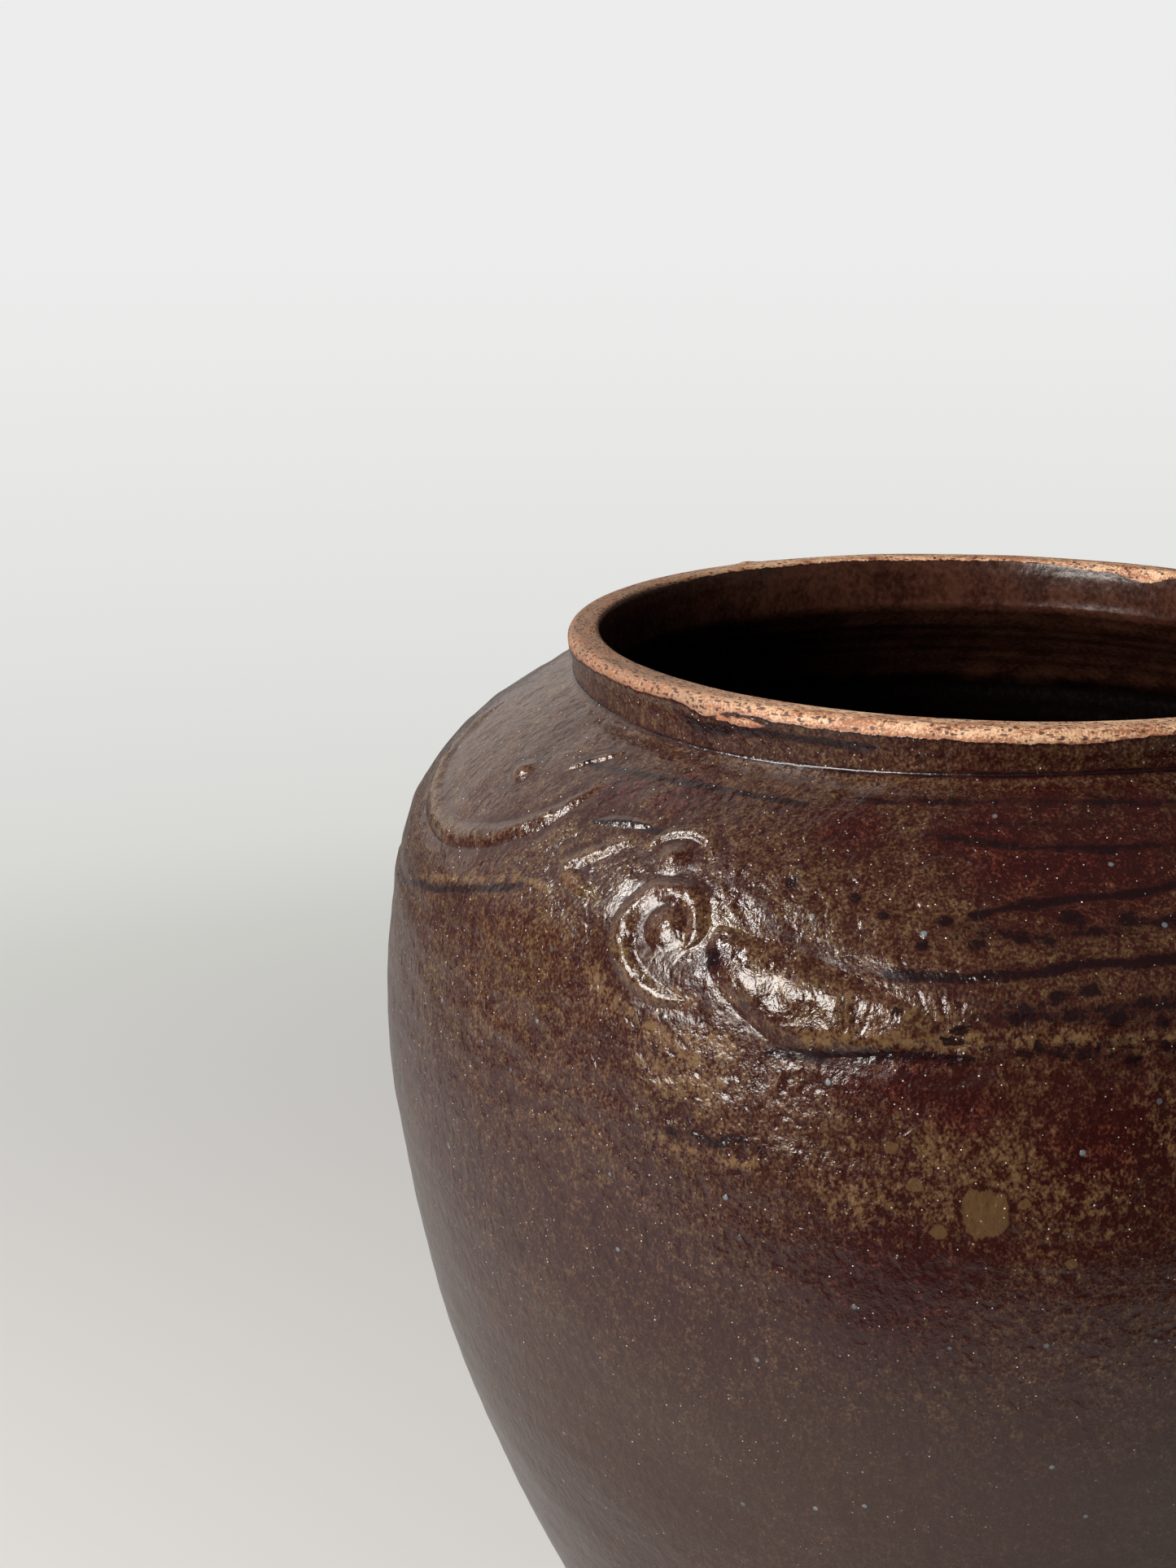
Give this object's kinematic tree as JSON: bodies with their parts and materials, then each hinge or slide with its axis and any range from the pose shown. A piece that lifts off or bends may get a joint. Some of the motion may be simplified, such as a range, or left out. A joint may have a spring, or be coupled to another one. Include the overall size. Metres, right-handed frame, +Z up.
{
  "type": "storage jar",
  "caption": "Wide-mouthed brown-glazed stoneware storage jar with a high shoulder, a bare clay lip and raised scroll and lappet ornament.",
  "frame": {"origin": "middle of the foot, on the plane that the jar stands on", "axes": "+Z up along the jar's axis; -Y towards the viewer of the picture's side, +X to the viewer's right"},
  "size_m": [0.289, 0.289, 0.316],
  "materials": {
    "brown_glaze": "glossy iron-brown ash glaze with fine tan mottling",
    "inside_glaze": "glossy dark brown glaze",
    "bare_clay": "bare fired stoneware with iron specks"
  },
  "bodies": {
    "root": {"base_disc": "bare_clay", "mouth_lip": "bare_clay", "lower_wall": "brown_glaze", "belly_wall": "brown_glaze", "shoulder_dome": "brown_glaze", "neck_collar": "brown_glaze", "neck_luting_coil": "brown_glaze", "base_seam_coil": "inside_glaze", "belly_seam_coil": "inside_glaze", "shoulder_seam_coil": "inside_glaze", "lappet_outline_1": "brown_glaze", "lappet_vein_1": "brown_glaze", "lappet_knob_1": "brown_glaze", "scroll_eye_1": "brown_glaze", "scroll_spiral_1": "brown_glaze", "scroll_tail_1": "brown_glaze", "scroll_crest_1": "brown_glaze", "scroll_knob_1": "brown_glaze", "scroll_beak_1": "brown_glaze", "scroll_brow_1": "brown_glaze", "lappet_outline_2": "brown_glaze", "lappet_vein_2": "brown_glaze", "lappet_knob_2": "brown_glaze", "scroll_eye_2": "brown_glaze", "scroll_spiral_2": "brown_glaze", "scroll_tail_2": "brown_glaze", "scroll_crest_2": "brown_glaze", "scroll_knob_2": "brown_glaze", "scroll_beak_2": "brown_glaze", "scroll_brow_2": "brown_glaze", "lappet_outline_3": "brown_glaze", "lappet_vein_3": "brown_glaze", "lappet_knob_3": "brown_glaze", "scroll_eye_3": "brown_glaze", "scroll_spiral_3": "brown_glaze", "scroll_tail_3": "brown_glaze", "scroll_crest_3": "brown_glaze", "scroll_knob_3": "brown_glaze", "scroll_beak_3": "brown_glaze", "scroll_brow_3": "brown_glaze"}
  },
  "joints": []
}
